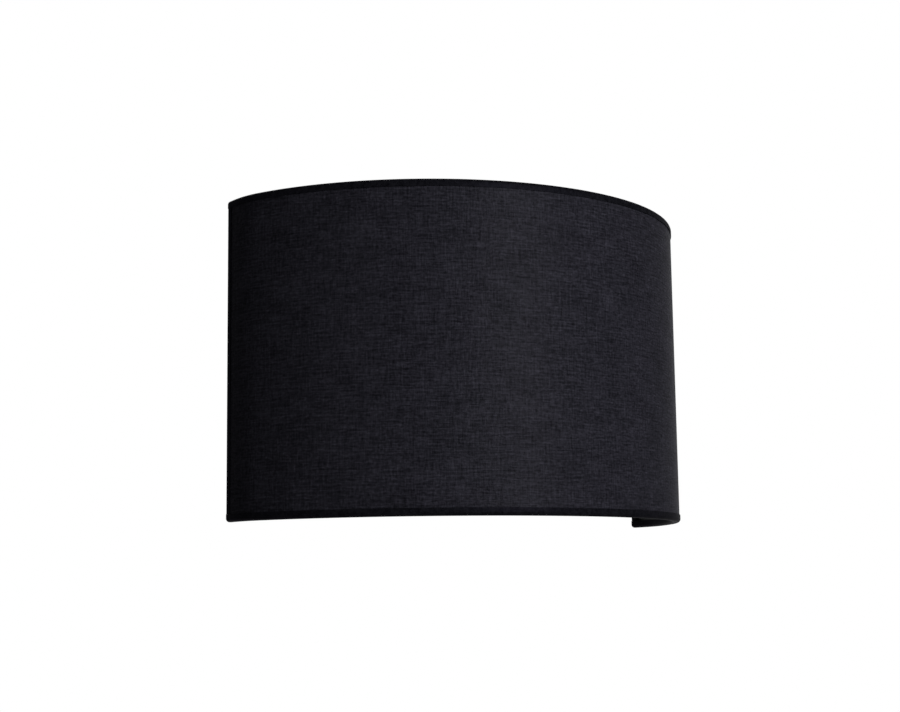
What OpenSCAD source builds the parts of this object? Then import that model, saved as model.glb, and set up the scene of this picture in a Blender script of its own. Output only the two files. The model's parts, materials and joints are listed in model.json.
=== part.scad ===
// Half drum wall lamp: a fabric shade on a bent wire frame hangs on a pressed steel back pan.
// The pan carries a bent arm with an upright screw lampholder and its bulb.
// Frame: X runs along the wall, Z is up, the wall is the plane y = 0 and the room is at negative y.
// The origin is the middle of the two wall screws.

/* [Shade outline] */
// Width of the shade along the wall
shade_w = 300; // [270:1:400]
// Depth of the shade from the wall to its front
shade_d = 130; // [110:1:138]
// Height of the shade
shade_h = 180; // [150:1:300]
// Plan radius where the front turns back to the wall
side_r = 60; // [30:1:85]
// Straight stretch of each end, square to the wall
return_l = 7.5; // [4:0.5:12]
// Distance from the wall screws down to the bottom rim
rim_drop = 50; // [46:1:80]
// Air between the wall and whatever does not touch it
wall_gap = 0.5; // [0.3:0.1:1]

/* [Shade layers] */
// Thickness of the woven outer fabric
fabric_t = 0.5; // [0.3:0.05:1]
// Thickness of the stiff inner liner
liner_t = 0.5; // [0.3:0.05:1]
// Thickness of the rolled edge strip
hem_t = 0.45; // [0.3:0.05:0.7]
// Height of the rolled edge strip
hem_h = 4.3; // [4.2:0.1:8]
// Glue line or slack between neighbouring layers
glue = 0.05; // [0.02:0.01:0.1]

/* [Wire frame] */
// Diameter of the ring wires and the uprights
wire_d = 3; // [2:0.1:3.4]
// Diameter of the hanger bar
bar_d = 3.5; // [2.5:0.1:4]
// Bend radius of the hanger bar at its centre line
bar_bend_r = 6; // [5:0.5:8]
// Straight leg between the two bends at each side of the saddle
saddle_leg = 2; // [0.5:0.5:10]
// Play of the saddle beside the back pan
saddle_play = 0.5; // [0.3:0.1:2]
// Gap left between a hanging or screwed-in piece and its seat
seat_gap = 0.3; // [0.2:0.05:0.5]
// Gap left at a welded or coped joint of two wires
weld_gap = 0.02; // [0.01:0.01:0.05]

/* [Back pan] */
// Width of the back pan
pan_w = 130; // [120:1:150]
// Height of the back pan
pan_h = 72; // [68:1:90]
// Depth of the back pan from the wall
pan_d = 24; // [22:1:32]
// Sheet thickness of the back pan
pan_t = 1.2; // [0.8:0.1:1.6]
// Corner radius of the pan seen from the front
pan_corner_r = 8; // [7:0.5:14]
// Radius of the pressed front edge
pan_edge_r = 3; // [2:0.5:5]
// Width of each lanced tongue that keeps the hanger bar in
tongue_w = 16; // [10:1:24]
// Height of each tongue above the pan
tongue_h = 8; // [6:0.5:12]
// Distance of each tongue from the middle
tongue_x = 35; // [28:1:42]

/* [Wall strap] */
// Sheet thickness of the wall strap
strap_t = 2; // [1.5:0.1:3]
// Height of the wall strap
strap_h = 22; // [18:1:30]
// Outer radius of the strap's bends
strap_bend_r = 4; // [3.5:0.5:6]
// Depth of the strap's end tabs from the wall
tab_d = 16; // [14:0.5:18]
// Distance between the two wall screw slots
slot_spacing = 70; // [60:1:76]
// Width of a wall screw slot
slot_w = 4.5; // [4:0.1:5.5]
// Length of a wall screw slot
slot_l = 12; // [8:0.5:16]
// Diameter of the cable hole in the strap
cable_hole_d = 22; // [16:0.5:24]
// Diameter of the round middle of the strap
strap_boss_d = 40; // [34:1:46]

/* [Screws] */
// Diameter of the side screws and of the earth screw
m4_d = 4; // [3.5:0.5:4]
// Head diameter of these screws
m4_head_d = 8; // [7:0.5:9]
// Head height of these screws
m4_head_h = 2.6; // [2:0.1:3.2]
// Diameter of the terminal block screw
m3_d = 3; // [2.5:0.5:3]
// Clearance between a screw and its thread
thread_play = 0.02; // [0.01:0.01:0.05]

/* [Arm] */
// Outer diameter of the arm tube
arm_d = 10; // [9:0.5:11]
// Bore of the arm tube
arm_bore = 7; // [6:0.5:7.5]
// Bend radius of the arm at its centre line
arm_bend_r = 12; // [10:1:16]
// Distance of the arm below the wall screws
arm_drop = 22; // [18:1:24]
// Distance of the bulb's axis from the wall
reach = 62; // [58:1:72]
// Thread length of the arm inside the pan
arm_thread_l = 8; // [7:0.5:9]
// Width across the flats of the arm nuts
nut_af = 14; // [13:0.5:17]
// Height of the arm nuts
nut_h = 3; // [2:0.5:4]
// Diameter of the turned collar on the pan
collar_d = 18; // [16:0.5:22]
// Height of the turned collar
collar_h = 5; // [4:0.5:8]

/* [Lampholder] */
// Height of the lampholder
holder_h = 47; // [45:0.5:52]
// Largest diameter of the lampholder, at its cap
holder_d = 39; // [38:0.5:44]
// Height of the lampholder's cap
holder_cap_h = 17; // [16:0.5:19]
// Wall of the lampholder's cap and skirt
holder_wall = 2; // [1.5:0.1:2.4]
// Count of the grip flutes around the cap
flute_n = 24; // [12:2:36]
// Radius of a grip flute
flute_r = 1; // [0.6:0.1:1.4]
// Thickness of the ceramic core
core_h = 7; // [6:0.5:8]
// Bore of the brass screw shell
shell_bore = 26.7; // [26.6:0.1:27]
// Sheet thickness of the screw shell
shell_t = 0.4; // [0.3:0.05:0.6]
// Width of the spring contact
contact_w = 5; // [4:0.5:6]
// Height of the spring contact above the core
contact_rise = 1.9; // [1.5:0.1:2.5]

/* [Bulb] */
// Length of the bulb
bulb_l = 105; // [95:1:110]
// Diameter of the bulb
bulb_d = 60; // [54:1:62]
// Diameter of the screw cap
cap_d = 26.2; // [25.8:0.1:26.4]
// Length of the screw cap and foot
cap_l = 26; // [25:0.5:27]
// Sheet thickness of the screw cap
cap_t = 0.35; // [0.25:0.05:0.5]
// Wall of the housing and of the dome
bulb_wall = 1.5; // [1:0.1:2]
// Thickness of the board under the dome
board_t = 1.6; // [1:0.1:2]

/* [Wiring] */
// Outer diameter of the insulated leads
lead_d = 2.4; // [2:0.1:2.6]
// Distance between the poles of the terminal block
pole_pitch = 10; // [9.5:0.5:11]
// Length of the terminal block along the leads
block_l = 17; // [15:1:20]
// Thickness of the terminal block's base
block_base = 8; // [7.5:0.5:9]
// Height of the terminal block with its screw towers
block_h = 12.5; // [11.5:0.5:13]
// Distance of the block's middle from the middle of the pan
block_x = 36; // [34:1:38]
// Height of the block's middle above the wall screws
block_z = 14; // [12:1:18]

/* [Hidden] */

$fn = 64;
// Facets of a full turn along the arcs of the plan
arch_fn = 240;
// Overshoot of a cutting shape past the face that it cuts
over = 1;

// Layers of the shade, as insets from the outline that its rims draw
wire_r = wire_d / 2;
nose_r = wire_r + glue + hem_t;
fabric_u = hem_t + glue;
liner_u = fabric_u + fabric_t + glue;
wire_u = liner_u + liner_t + glue + wire_r;
rim_t = wire_u + nose_r;
panel_inset = nose_r + glue;
end_y = -wall_gap - nose_r;
bottom_z = -rim_drop;
top_z = bottom_z + shade_h;

// Plan of the shade: a straight return, a side arc, one wide front arc and the same back again
half_w = shade_w / 2;
arch_d = shade_d - return_l;
side_x = half_w - side_r;
front_c = (side_x * side_x - (arch_d - side_r) * (arch_d - side_r)) / (2 * (arch_d - side_r));
front_r = arch_d + front_c;
side_centre = [side_x, -return_l];
front_centre = [0, front_c - return_l];
// A point outside the shade on the line through both centres, where the front arc passes into the side arc
joint_far = front_centre + 3 * (side_centre - front_centre);
upright_x = half_w - wire_u;

// The hanger bar, which lies over the top of the back pan like a saddle
bar_r = bar_d / 2;
saddle_z = pan_h / 2 + seat_gap + bar_r;
saddle_x = pan_w / 2 + saddle_play + bar_r;
bar_z = saddle_z - 2 * bar_bend_r - saddle_leg;
tongue_y = end_y - bar_r - seat_gap;

// The strap's tabs and the side screws
tab_x = pan_w / 2 - pan_t - seat_gap;
side_screw_y = -tab_d + m4_head_d / 2 + 1.5;
tab_corner_r = 4;
earth_x = (slot_spacing / 2 + slot_l / 2 + tab_x - strap_t) / 2;

// The arm, and the lampholder that stands on its end
pan_front_y = -pan_d;
pan_inner_y = pan_front_y + pan_t;
arm_r = arm_d / 2;
arm_z = -arm_drop;
arm_start_y = pan_inner_y + arm_thread_l;
nut_play = 0.1;
holder_z = arm_z + arm_bend_r + nut_h + 2 * nut_play;
holder_r = holder_d / 2;
mouth_z = holder_z + holder_h;
boss_r = arm_r + 3;
boss_h = 3;
core_r = holder_r - holder_wall - flute_r - 1.5;
core_z = holder_z + holder_cap_h - core_h + 2;
core_top_z = core_z + core_h;
contact_t = 0.5;
contact_z = core_top_z + contact_rise;
lead_r = lead_d / 2;
way_x = lead_r + 3.3;
way_h = core_h - 2;
skirt_top_r = shell_bore / 2 + shell_t + 3.2;
shell_r = shell_bore / 2 + shell_t;

// The bulb, measured up from the tip of its foot
tip_z = contact_z + contact_t + seat_gap;
cap_r = cap_d / 2;
insulator_z = 1.4;
insulator_r = cap_r - 1.8;
foot_h = 6.5;
bulb_r = bulb_d / 2;
dome_c = bulb_l - bulb_r;
split_z = dome_c - 5;
split_r = sqrt(bulb_r * bulb_r - (dome_c - split_z) * (dome_c - split_z));

// The terminal block and the leads
block_w = 3 * pole_pitch;
pole_y = pan_inner_y + block_base / 2;
block_low_z = block_z - block_l / 2;
block_end_in = 2;
tube_r = 2.1;
tube_bore_r = 1.5;
pole_screw_r = 1.2;
pole_screw_dz = block_l / 4;
tower_r = 3.4;
lead_side = lead_r + 0.15;
lead_sides = 8;
earth_tag_t = 0.8;

function pole_x(i) = block_x + (i - 1) * pole_pitch;

// Points on a cubic curve between two ends, with a handle at each
function cubic(a, b, c, d, n) = [
    for (i = [0 : n])
        let (t = i / n, s = 1 - t)
            s * s * s * a + 3 * s * s * t * b + 3 * s * t * t * c + t * t * t * d
];

// A smooth route through hand-placed points, n steps from each point to the next
function route_point(p, i, t) =
    let (
        last = len(p) - 1,
        a = p[max(i - 1, 0)],
        b = p[i],
        c = p[min(i + 1, last)],
        d = p[min(i + 2, last)]
    )
        0.5 * (2 * b + t * (c - a) + t * t * (2 * a - 5 * b + 4 * c - d) + t * t * t * (3 * b - a - 3 * c + d));
function route(p, n) = [
    for (i = [0 : len(p) - 2])
        for (j = [0 : n - 1])
            route_point(p, i, j / n),
    p[len(p) - 1]
];
function unit(v) = v / norm(v);
function heading(p, i) = unit(p[min(i + 1, len(p) - 1)] - p[max(i - 1, 0)]);
// Each ring's side direction is the last one's, turned only as much as the route turns
function side_dirs(p, i, last) =
    i == len(p)
        ? []
        : let (t = heading(p, i), s = unit(last - (last * t) * t))
            concat([s], side_dirs(p, i + 1, s));

module tube_along(p, r, sides) {
    dirs = side_dirs(p, 0, unit([0.3, 0.2, 1]));
    n = len(p);
    points = [
        for (i = [0 : n - 1])
            let (t = heading(p, i), a = dirs[i], b = cross(t, a))
                for (k = [0 : sides - 1])
                    p[i] + r * (cos(360 * k / sides) * a + sin(360 * k / sides) * b)
    ];
    walls = [
        for (i = [0 : n - 2])
            for (k = [0 : sides - 1])
                let (m = (k + 1) % sides)
                    [i * sides + k, (i + 1) * sides + k, (i + 1) * sides + m, i * sides + m]
    ];
    first_end = [[for (k = [0 : sides - 1]) k]];
    last_end = [[for (k = [sides - 1 : -1 : 0]) (n - 1) * sides + k]];
    polyhedron(points = points, faces = concat(walls, first_end, last_end), convexity = 6);
}

// Turns a drawing of (distance from the wall, height) into a solid across the lamp
module across(width) {
    rotate([90, 0, -90])
        linear_extrude(width, center = true)
            children();
}

// Sweeps a section along the plan. Its x is the inset from the outline and its y is the height.
module along_plan(start_y) {
    length = return_l + start_y;
    translate([-half_w, start_y, 0])
        rotate([90, 0, 0])
            linear_extrude(length)
                children();
    translate([half_w, start_y, 0])
        mirror([1, 0, 0])
            rotate([90, 0, 0])
                linear_extrude(length)
                    children();
    for (s = [0, 1])
        mirror([s, 0, 0])
            plan_arc(side_centre, side_r, [side_centre, [joint_far.x, -return_l], joint_far])
                children();
    mirrored_far = [-joint_far.x, joint_far.y];
    past_front = [0, -2 * shade_d];
    plan_arc(front_centre, front_r, [
        front_centre, joint_far, joint_far + past_front, mirrored_far + past_front, mirrored_far
    ])
        children();
}

// The stretch of a revolved section that lies inside a sector, which is seen from above
module plan_arc(centre, r, sector) {
    intersection() {
        translate(centre)
            rotate_extrude($fn = arch_fn)
                translate([r, 0])
                    mirror([1, 0])
                        children();
        linear_extrude(4 * shade_h, center = true)
            polygon(sector);
    }
}

// Section of the rolled edge, round at its nose and shrunk by an inset
module rim_section(inset, height) {
    r = nose_r - inset;
    w = rim_t - 2 * inset;
    translate([inset, inset]) {
        translate([r, 0])
            square([w - 2 * r, height - inset]);
        translate([0, r])
            square([w, height - inset - r]);
        for (x = [r, w - r])
            translate([x, r])
                circle(r);
    }
}

// The rolled edge as a full solid: the section along the plan, with its ends round as its nose is
module rim_solid(inset, height) {
    r = nose_r - inset;
    intersection() {
        along_plan(-wall_gap)
            rim_section(inset, height);
        across(2 * shade_w)
            translate([wall_gap + inset, inset]) {
                translate([r, 0])
                    square([shade_d, height]);
                translate([0, r])
                    square([2 * r, height - r]);
                translate([r, r])
                    circle(r);
            }
    }
}

module rim_hem() {
    difference() {
        rim_solid(0, hem_h);
        rim_solid(hem_t, hem_h + over);
    }
}

module from_top() {
    translate([0, 0, top_z])
        mirror([0, 0, 1])
            children();
}

module top_hem() {
    color("#17171a")
        from_top()
            rim_hem();
}

module bottom_hem() {
    color("#17171a")
        translate([0, 0, bottom_z])
            rim_hem();
}

// The strip rolled round an end of the shade, slit where the hanger bar passes through it
module end_hem() {
    low = bottom_z + hem_h + glue;
    difference() {
        translate([half_w, -wall_gap, low])
            rotate([0, 0, 180])
                linear_extrude(shade_h - 2 * (hem_h + glue))
                    difference() {
                        rim_section(0, hem_h);
                        rim_section(hem_t, hem_h + over);
                    }
        translate([upright_x, end_y, bar_z])
            rotate([0, -90, 0])
                cylinder(r = bar_r + glue, h = rim_t);
    }
}

module left_end_hem() {
    color("#17171a")
        mirror([1, 0, 0])
            end_hem();
}

module right_end_hem() {
    color("#17171a")
        end_hem();
}

module panel(inset, thickness) {
    translate([0, 0, bottom_z])
        along_plan(-wall_gap - panel_inset)
            translate([inset, panel_inset])
                square([thickness, shade_h - 2 * panel_inset]);
}

module shade_fabric() {
    color("#26262b")
        panel(fabric_u, fabric_t);
}

module shade_liner() {
    color("#1c1c1e")
        panel(liner_u, liner_t);
}

module ring_wire() {
    along_plan(end_y)
        translate([wire_u, nose_r])
            circle(wire_r);
    for (s = [-1, 1])
        translate([s * upright_x, end_y, nose_r])
            sphere(wire_r);
}

module bottom_ring_wire() {
    color("#2b2b2e")
        translate([0, 0, bottom_z])
            ring_wire();
}

module top_ring_wire() {
    color("#2b2b2e")
        from_top()
            ring_wire();
}

// An upright, coped at both ends to sit on the ring wires
module upright_wire() {
    low = bottom_z + nose_r;
    high = top_z - nose_r;
    difference() {
        translate([upright_x, end_y, low])
            cylinder(r = wire_r, h = high - low);
        for (z = [low, high])
            translate([upright_x, end_y, z]) {
                sphere(wire_r + weld_gap);
                rotate([90, 0, 0])
                    cylinder(r = wire_r + weld_gap, h = 2 * wire_d);
            }
    }
}

module left_upright_wire() {
    color("#2b2b2e")
        mirror([1, 0, 0])
            upright_wire();
}

module right_upright_wire() {
    color("#2b2b2e")
        upright_wire();
}

// A quarter bend of round wire in the plane of the wall
module bar_bend(start_angle) {
    rotate([90, 0, 0])
        rotate([0, 0, start_angle])
            rotate_extrude(angle = 90)
                translate([bar_bend_r, 0])
                    circle(bar_r);
}

module hanger_half() {
    side_run = upright_x - wire_r / 4 - saddle_x - bar_bend_r;
    translate([0, end_y, saddle_z])
        rotate([0, 90, 0])
            cylinder(r = bar_r, h = saddle_x - bar_bend_r);
    translate([saddle_x - bar_bend_r, end_y, saddle_z - bar_bend_r])
        bar_bend(0);
    translate([saddle_x, end_y, bar_z + bar_bend_r])
        cylinder(r = bar_r, h = saddle_leg);
    translate([saddle_x + bar_bend_r, end_y, bar_z + bar_bend_r])
        bar_bend(180);
    difference() {
        translate([saddle_x + bar_bend_r, end_y, bar_z])
            rotate([0, 90, 0])
                cylinder(r = bar_r, h = side_run);
        translate([upright_x, end_y, bar_z - bar_d])
            cylinder(r = wire_r + weld_gap, h = 2 * bar_d);
    }
}

module hanger_bar() {
    color("#2b2b2e")
        for (s = [0, 1])
            mirror([s, 0, 0])
                hanger_half();
}

// Strip of sheet bent to a U in plan: the web lies on the wall and the tabs point into the room
module strap_plan() {
    r = strap_bend_r;
    difference() {
        union() {
            translate([-tab_x, -tab_d])
                square([2 * tab_x, tab_d - r]);
            translate([r - tab_x, -r - over])
                square([2 * (tab_x - r), r + over]);
            for (s = [-1, 1])
                translate([s * (tab_x - r), -r])
                    circle(r);
        }
        union() {
            translate([strap_t - tab_x, -tab_d - over])
                square([2 * (tab_x - strap_t), tab_d + over - r]);
            translate([r - tab_x, -tab_d])
                square([2 * (tab_x - r), tab_d - strap_t]);
            for (s = [-1, 1])
                translate([s * (tab_x - r), -r])
                    circle(r - strap_t);
        }
    }
}

module slot(length, width) {
    square([length - width, width], center = true);
    for (s = [-1, 1])
        translate([s * (length - width) / 2, 0])
            circle(d = width);
}

module round_cornered(w, h, r) {
    square([w - 2 * r, h], center = true);
    square([w, h - 2 * r], center = true);
    for (x = [-1, 1])
        for (y = [-1, 1])
            translate([x * (w / 2 - r), y * (h / 2 - r)])
                circle(r);
}

module wall_strap() {
    color("#c2c5c8")
        difference() {
            union() {
                intersection() {
                    translate([0, 0, -strap_h / 2])
                        linear_extrude(strap_h)
                            strap_plan();
                    across(pan_w)
                        round_cornered(2 * tab_d, strap_h, tab_corner_r);
                }
                rotate([90, 0, 0])
                    cylinder(d = strap_boss_d, h = strap_t);
            }
            translate([0, over, 0])
                rotate([90, 0, 0])
                    linear_extrude(strap_t + 2 * over) {
                        circle(d = cable_hole_d);
                        for (s = [-1, 1])
                            translate([s * slot_spacing / 2, 0])
                                slot(slot_l, slot_w);
                        translate([earth_x, 0])
                            circle(m4_d / 2 + thread_play);
                    }
            for (s = [-1, 1])
                translate([s * tab_x, side_screw_y, 0])
                    rotate([0, 90, 0])
                        cylinder(r = m4_d / 2 + thread_play, h = 4 * strap_t, center = true);
        }
}

// Block with round corners and one round front edge, its back on the plane z = 0
module pressed_profile(w, d, edge_r) {
    translate([-w / 2, -over])
        square([w, d - edge_r + over]);
    translate([edge_r - w / 2, -over])
        square([w - 2 * edge_r, d + over]);
    for (s = [-1, 1])
        translate([s * (w / 2 - edge_r), d - edge_r])
            circle(edge_r);
}

module pressed_block(w, h, d, corner_r, edge_r) {
    rotate([90, 0, 0])
        linear_extrude(h - 2 * corner_r, center = true)
            pressed_profile(w, d, edge_r);
    rotate([90, 0, 90])
        linear_extrude(w - 2 * corner_r, center = true)
            pressed_profile(h, d, edge_r);
    for (x = [-1, 1])
        for (y = [-1, 1])
            translate([x * (w / 2 - corner_r), y * (h / 2 - corner_r), 0])
                rotate_extrude()
                    intersection() {
                        pressed_profile(2 * corner_r, d, edge_r);
                        translate([0, -over])
                            square([corner_r, d + over]);
                    }
}

// Tongue lanced up out of the pan's top wall, with the window that it leaves
module tongue() {
    translate([0, tongue_y, pan_h / 2 - pan_t])
        rotate([90, 0, 0])
            linear_extrude(pan_t)
                intersection() {
                    translate([0, pan_t / 2])
                        round_cornered(tongue_w, 2 * tongue_h + pan_t, 3);
                    translate([-tongue_w / 2, 0])
                        square([tongue_w, tongue_h + pan_t]);
                }
}

module tongue_window() {
    relief = 0.6;
    translate([-tongue_w / 2 - relief, tongue_y - pan_t - tongue_h, pan_h / 2 - pan_t - over])
        cube([tongue_w + 2 * relief, tongue_h, pan_t + 2 * over]);
}

module back_pan() {
    depth = pan_d - wall_gap;
    inner_w = pan_w - 2 * pan_t;
    inner_h = pan_h - 2 * pan_t;
    color("#e9e9e6")
        difference() {
            union() {
                difference() {
                    translate([0, -wall_gap, 0])
                        rotate([90, 0, 0])
                            intersection() {
                                pressed_block(pan_w, pan_h, depth, pan_corner_r, pan_edge_r);
                                translate([-pan_w, -pan_h, 0])
                                    cube([2 * pan_w, 2 * pan_h, 2 * depth]);
                            }
                    translate([0, -wall_gap, 0])
                        rotate([90, 0, 0])
                            pressed_block(inner_w, inner_h, depth - pan_t, pan_corner_r - pan_t, pan_edge_r - pan_t);
                    for (s = [-1, 1])
                        translate([s * tongue_x, 0, 0])
                            tongue_window();
                }
                for (s = [-1, 1])
                    translate([s * tongue_x, 0, 0])
                        tongue();
            }
            for (s = [-1, 1])
                translate([s * pan_w / 2, side_screw_y, 0])
                    rotate([0, 90, 0])
                        cylinder(r = m4_d / 2 + nut_play, h = 4 * pan_t, center = true);
            translate([0, pan_inner_y + over, arm_z])
                rotate([90, 0, 0])
                    cylinder(r = arm_r + nut_play, h = pan_t + 2 * over);
            translate([block_x - pole_pitch / 2, pan_inner_y + over, block_z])
                rotate([90, 0, 0])
                    cylinder(r = m3_d / 2 + thread_play, h = pan_t + 2 * over);
        }
}

// Pan head screw pointing down from z = 0, with its head above and a cross recess
module pan_head_screw(d, head_d, head_h, length) {
    r = head_d / 2;
    edge = head_h * 0.45;
    crown = (r * r + (head_h - edge) * (head_h - edge)) / (2 * (head_h - edge));
    difference() {
        union() {
            translate([0, 0, -length])
                cylinder(d = d, h = length);
            cylinder(r = r, h = edge);
            intersection() {
                translate([0, 0, head_h - crown])
                    sphere(crown);
                cylinder(r = r, h = head_h + over);
            }
        }
        for (turn = [0, 90])
            rotate([0, 0, turn])
                translate([-head_d * 0.25, -head_d * 0.05, head_h * 0.45])
                    cube([head_d * 0.5, head_d * 0.1, head_h]);
    }
}

module pan_screws() {
    color("#b8bbbf")
        for (s = [0, 1])
            mirror([s, 0, 0])
                translate([pan_w / 2, side_screw_y, 0])
                    rotate([0, 90, 0])
                        pan_head_screw(m4_d, m4_head_d, m4_head_h, pan_t + seat_gap + strap_t + 2);
}

// Straight out of the pan, then a quarter bend up into the lampholder
module arm_shape(r) {
    bend_y = -(reach - arm_bend_r);
    translate([0, arm_start_y, arm_z])
        rotate([90, 0, 0])
            cylinder(r = r, h = arm_start_y - bend_y);
    translate([0, bend_y, arm_z + arm_bend_r])
        rotate([90, 0, -90])
            rotate([0, 0, -90])
                rotate_extrude(angle = 90)
                    translate([arm_bend_r, 0])
                        circle(r);
    translate([0, -reach, arm_z + arm_bend_r])
        cylinder(r = r, h = holder_z - arm_z - arm_bend_r + boss_h + holder_wall);
}

module arm_tube() {
    color("#b9a15a")
        difference() {
            arm_shape(arm_r);
            arm_shape(arm_bore / 2);
        }
}

module hex_nut() {
    difference() {
        cylinder(r = nut_af / 2 / cos(30), h = nut_h, $fn = 6);
        translate([0, 0, -over])
            cylinder(r = arm_r + thread_play, h = nut_h + 2 * over);
    }
}

module arm_nuts() {
    color("#c9a44a") {
        translate([0, pan_inner_y + nut_play + nut_h, arm_z])
            rotate([90, 0, 0])
                hex_nut();
        translate([0, -reach, holder_z - nut_play - nut_h])
            hex_nut();
    }
}

module arm_collar() {
    waist_r = arm_r + 1.5;
    cove_r = min(collar_d / 2 - waist_r, collar_h - 1.5);
    color("#e9e9e6")
        translate([0, pan_front_y - nut_play, arm_z])
            rotate([90, 0, 0])
                difference() {
                    rotate_extrude()
                        difference() {
                            square([waist_r + cove_r, collar_h]);
                            translate([waist_r + cove_r, collar_h])
                                circle(cove_r);
                        }
                    translate([0, 0, -over])
                        cylinder(r = arm_r + nut_play, h = collar_h + 2 * over);
                }
}

// Domed cap of the lampholder, screwed onto the arm, with grip flutes round its rim
module holder_cap() {
    ledge_r = core_r - 1.5;
    dome_h = holder_cap_h * 0.6;
    outer = cubic([boss_r, boss_h], [boss_r + 1, boss_h + 4], [holder_r, boss_h], [holder_r, dome_h], 12);
    color("#1a1a1b")
        translate([0, -reach, holder_z])
            difference() {
                rotate_extrude()
                    polygon(concat(
                        [[arm_r + thread_play, 0], [boss_r, 0]],
                        outer,
                        [
                            [holder_r, holder_cap_h],
                            [core_r + nut_play, holder_cap_h],
                            [core_r + nut_play, core_z - holder_z - nut_play],
                            [ledge_r, core_z - holder_z - nut_play],
                            [ledge_r, dome_h],
                            [arm_r + thread_play, boss_h + holder_wall]
                        ]
                    ));
                for (i = [0 : flute_n - 1])
                    rotate([0, 0, 360 * i / flute_n])
                        translate([holder_r + flute_r * 0.4, 0, dome_h + 1])
                            cylinder(r = flute_r, h = holder_cap_h, $fn = 16);
            }
}

// Skirt of the lampholder, with a rolled lip round its mouth
module holder_skirt() {
    low = holder_cap_h + nut_play;
    root_r = core_r + holder_wall;
    lip_h = 3;
    bore_r = shell_r + nut_play;
    color("#1a1a1b")
        translate([0, -reach, holder_z])
            rotate_extrude()
                difference() {
                    union() {
                        polygon([
                            [0, low],
                            [root_r, low],
                            [root_r, low + 3],
                            [skirt_top_r, low + 8],
                            [skirt_top_r - 0.6, holder_h - lip_h],
                            [0, holder_h - lip_h]
                        ]);
                        translate([0, holder_h - lip_h])
                            square([skirt_top_r - 0.4, lip_h]);
                        translate([skirt_top_r - 0.4, holder_h - lip_h / 2])
                            circle(lip_h / 2);
                    }
                    translate([-over, low - over])
                        square([core_r + nut_play + over, core_top_z - holder_z + nut_play - low + over]);
                    translate([-over, low])
                        square([bore_r + over, holder_h]);
                    translate([-skirt_top_r, low - over])
                        square([skirt_top_r, holder_h]);
                }
}

// Ceramic core: a disc with a blind way for each lead and a notch that keeps it from turning
module holder_core() {
    notch_r = 2;
    color("#f1eee6")
        translate([0, -reach, core_z])
            difference() {
                cylinder(r = core_r, h = core_h);
                for (s = [-1, 1])
                    translate([s * way_x, 0, -over])
                        cylinder(r = lead_r + 0.4, h = way_h + over);
                for (s = [-1, 1])
                    translate([0, s * core_r, -over])
                        cylinder(r = notch_r, h = core_h + 2 * over);
            }
}

module screw_shell() {
    color("#c9a44a")
        translate([0, -reach, core_top_z + thread_play])
            difference() {
                cylinder(r = shell_r, h = mouth_z - core_top_z - 3);
                translate([0, 0, shell_t])
                    cylinder(d = shell_bore, h = holder_h);
                translate([0, 0, -over])
                    cylinder(r = shell_bore / 2 - 3, h = holder_h);
            }
}

// Brass tongue in the bottom of the lampholder, bent up to press on the bulb's foot
module spring_contact() {
    foot_x = 7;
    flat_x = 2.5;
    color("#c9a44a")
        translate([0, -reach, core_top_z + thread_play])
            rotate([90, 0, 0])
                linear_extrude(contact_w, center = true)
                    polygon([
                        [-foot_x, 0],
                        [flat_x - foot_x, 0],
                        [-flat_x, contact_rise],
                        [flat_x, contact_rise],
                        [flat_x + 1, contact_rise - 1],
                        [flat_x + 1.4, contact_rise - 1 + contact_t],
                        [flat_x + 0.3, contact_rise + contact_t - thread_play],
                        [-flat_x - 0.2, contact_rise + contact_t - thread_play],
                        [flat_x - foot_x - 0.2, contact_t],
                        [-foot_x, contact_t]
                    ]);
}

module on_bulb_axis() {
    translate([0, -reach, tip_z])
        children();
}

module bulb_foot_contact() {
    color("#b0b3b5")
        on_bulb_axis()
            rotate_extrude()
                polygon([[0, 0], [3.4, 0], [4.4, 0.3], [4.8, 0.9], [4.8, insulator_z], [0, insulator_z]]);
}

module bulb_foot_insulator() {
    color("#131315")
        on_bulb_axis()
            rotate_extrude()
                polygon([
                    [0, insulator_z],
                    [5.4, insulator_z],
                    [insulator_r, foot_h - 1.6],
                    [insulator_r, foot_h],
                    [0, foot_h]
                ]);
}

module bulb_cap() {
    color("#b0b3b5")
        on_bulb_axis()
            rotate_extrude()
                polygon([
                    [insulator_r + 0.1, foot_h - 1.2],
                    [cap_r - 1, foot_h - 1.2],
                    [cap_r, foot_h],
                    [cap_r, cap_l],
                    [cap_r - cap_t, cap_l],
                    [cap_r - cap_t, foot_h + 0.1],
                    [insulator_r + 0.1, foot_h + 0.1]
                ]);
}

// Housing of the bulb: a neck crimped in the cap, then a bell up to the dome
module bulb_housing() {
    neck_r = cap_r - cap_t - glue;
    shoulder_r = cap_r + 0.6;
    outer = cubic([shoulder_r, cap_l + 0.3], [shoulder_r + 1, cap_l + 16], [split_r - 1.6, split_z - 16], [split_r, split_z], 14);
    inner = [for (i = [len(outer) - 1 : -1 : 0]) outer[i] - [bulb_wall, 0]];
    color("#f4f4f1")
        on_bulb_axis()
            rotate_extrude()
                polygon(concat(
                    [[neck_r - bulb_wall, cap_l - 6], [neck_r, cap_l - 6], [neck_r, cap_l + 0.3]],
                    outer,
                    inner,
                    [[neck_r - bulb_wall, cap_l + 0.3]]
                ));
}

module bulb_board() {
    color("#d8dadc")
        on_bulb_axis()
            translate([0, 0, split_z - board_t - glue])
                cylinder(r = split_r - bulb_wall - 1.2, h = board_t);
}

module bulb_dome() {
    color("#fbfbf7")
        on_bulb_axis()
            difference() {
                translate([0, 0, dome_c])
                    sphere(bulb_r, $fn = 96);
                translate([0, 0, dome_c])
                    sphere(bulb_r - bulb_wall, $fn = 96);
                translate([-bulb_d, -bulb_d, -bulb_l])
                    cube([2 * bulb_d, 2 * bulb_d, bulb_l + split_z + glue]);
            }
}

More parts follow.
